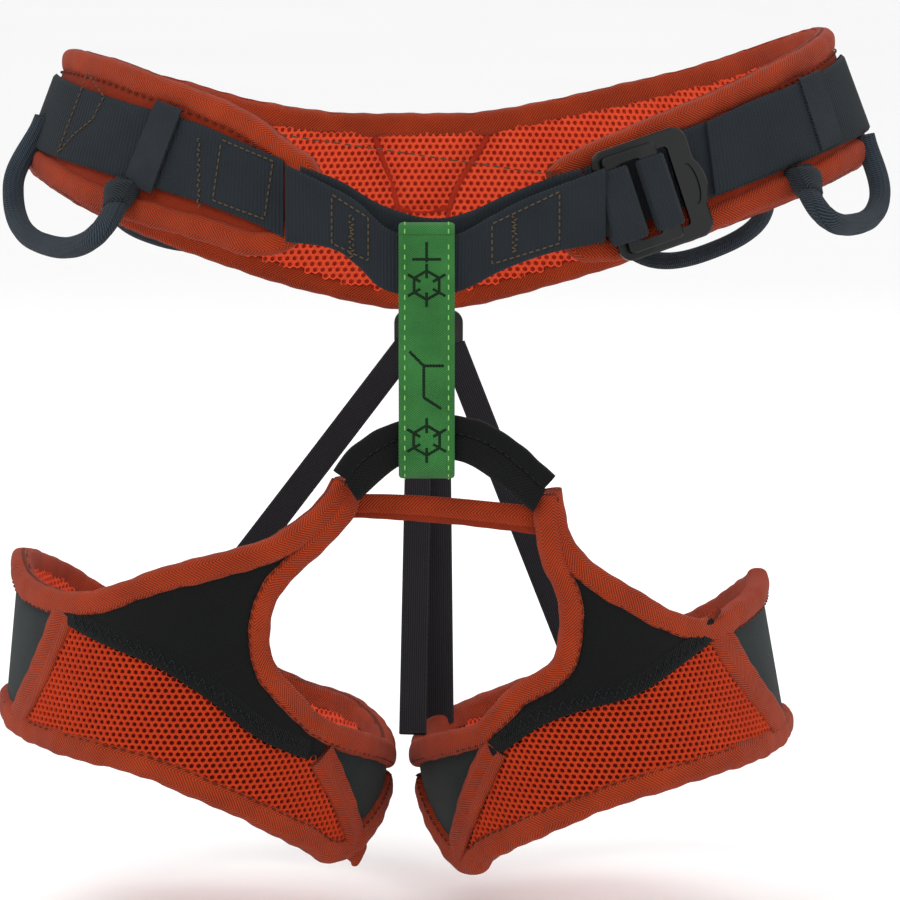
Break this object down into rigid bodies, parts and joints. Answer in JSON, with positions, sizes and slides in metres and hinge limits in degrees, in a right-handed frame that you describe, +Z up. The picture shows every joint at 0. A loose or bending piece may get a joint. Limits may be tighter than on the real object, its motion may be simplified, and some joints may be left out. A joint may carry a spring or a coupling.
{
  "type": "climbing harness",
  "caption": "Padded climbing harness with waist belt, double-plate buckle, belay loop, gear loops and two adjustable-riser leg loops.",
  "frame": {"origin": "centre of the wearer's waist, at the level of the belt's middle in front", "axes": "+Z up along the body, +Y towards the back of the harness, +X to the right as seen from in front"},
  "size_m": [0.3228, 0.2259, 0.2935],
  "materials": {
    "spacer_mesh": "open spacer mesh",
    "padding_foam": "closed-cell foam",
    "shell_fabric": "fine woven",
    "edge_binding_tape": "herringbone tape",
    "grey_webbing": "ribbed webbing",
    "belay_webbing": "dense woven webbing",
    "buckle_metal": "black anodised",
    "gear_loop_sleeve": "grooved tube",
    "collar_webbing": "woven",
    "bridge_sheath_fabric": "smooth and woven",
    "bridge_core_webbing": "plain woven",
    "riser_elastic": "elastic tape",
    "side_fabric": "fine woven",
    "stretch_fabric": "smooth stretch",
    "orange_mesh": "perforated mesh",
    "rear_buckle_plastic": "matt"
  },
  "bodies": {
    "waist": {"waist_foam": "padding_foam", "waist_lining": "spacer_mesh", "waist_shell": "shell_fabric", "waist_binding": "edge_binding_tape", "hip_webbing_left": "grey_webbing", "hip_webbing_right": "grey_webbing", "waist_strap": "grey_webbing", "tie_in_loop": "grey_webbing", "strap_tail": "grey_webbing", "strap_keeper_left": "grey_webbing", "strap_keeper_right": "grey_webbing", "buckle_anchor_webbing": "grey_webbing", "buckle_base_plate": "buckle_metal", "bridge_webbing": "bridge_core_webbing", "bridge_sheath": "bridge_sheath_fabric", "cross_strap": "edge_binding_tape", "rear_buckle": "rear_buckle_plastic", "rear_anchor_webbing": "grey_webbing", "riser_left_outer": "riser_elastic", "riser_left_inner": "riser_elastic", "riser_right_inner": "riser_elastic", "riser_right_outer": "riser_elastic"},
    "belay_loop": {"belay_loop": "belay_webbing"},
    "buckle_release": {"buckle_release_plate": "buckle_metal", "buckle_strap_turn": "grey_webbing"},
    "left_leg": {"leg_left_foam": "padding_foam", "leg_left_lining": "spacer_mesh", "leg_left_edge_binding": "edge_binding_tape", "leg_left_shell": "side_fabric", "leg_left_stretch_panel": "stretch_fabric", "leg_left_mesh_panel": "orange_mesh", "leg_left_panel_binding": "edge_binding_tape"},
    "right_leg": {"leg_right_foam": "padding_foam", "leg_right_lining": "spacer_mesh", "leg_right_edge_binding": "edge_binding_tape", "leg_right_shell": "side_fabric", "leg_right_stretch_panel": "stretch_fabric", "leg_right_mesh_panel": "orange_mesh", "leg_right_panel_binding": "edge_binding_tape"},
    "gear_loop_front_left": {"gear_loop_front_left": "gear_loop_sleeve", "gear_loop_front_left_collar": "collar_webbing"},
    "gear_loop_front_right": {"gear_loop_front_right": "gear_loop_sleeve", "gear_loop_front_right_collar": "collar_webbing"},
    "gear_loop_rear_left": {"gear_loop_rear_left": "gear_loop_sleeve", "gear_loop_rear_left_collar": "collar_webbing"},
    "gear_loop_rear_right": {"gear_loop_rear_right": "gear_loop_sleeve", "gear_loop_rear_right_collar": "collar_webbing"}
  },
  "joints": [
    {"name": "gear_loop_front_left_swing", "type": "hinge", "parent": "waist", "child": "gear_loop_front_left", "pos_m": [-0.134, -0.05375, 0.033], "axis": [-0.4581, 0.862, 0.217], "range_deg": [0, 70]},
    {"name": "gear_loop_front_right_swing", "type": "hinge", "parent": "waist", "child": "gear_loop_front_right", "pos_m": [0.1375, -0.0525, 0.036], "axis": [-0.3975, -0.891, -0.2193], "range_deg": [0, 70]},
    {"name": "gear_loop_rear_left_swing", "type": "hinge", "parent": "waist", "child": "gear_loop_rear_left", "pos_m": [-0.1105, 0.08, 0.014], "axis": [0.8447, 0.4678, -0.2599], "range_deg": [0, 70]},
    {"name": "gear_loop_rear_right_swing", "type": "hinge", "parent": "waist", "child": "gear_loop_rear_right", "pos_m": [0.1005, 0.0825, 0.009], "axis": [0.8417, -0.4676, 0.2702], "range_deg": [0, 70]},
    {"name": "belay_loop_swing", "type": "hinge", "parent": "waist", "child": "belay_loop", "pos_m": [-0.009, -0.1054, 0.007], "axis": [1, 0, 0], "range_deg": [-1, 1]},
    {"name": "buckle_release_hinge", "type": "hinge", "parent": "waist", "child": "buckle_release", "pos_m": [0.05867, -0.09531, 0.01751], "axis": [0.3127, -0.032, -0.9493], "range_deg": [0, 18]},
    {"name": "left_leg_swing", "type": "hinge", "parent": "waist", "child": "left_leg", "pos_m": [-0.038, -0.103, -0.084], "axis": [-1, 0, 0], "range_deg": [-8, 25], "deforming": ["riser_left_outer", "riser_left_inner"]},
    {"name": "right_leg_swing", "type": "hinge", "parent": "waist", "child": "right_leg", "pos_m": [0.033, -0.103, -0.091], "axis": [-1, 0, 0], "range_deg": [-8, 25], "deforming": ["riser_right_outer", "riser_right_inner"]}
  ]
}
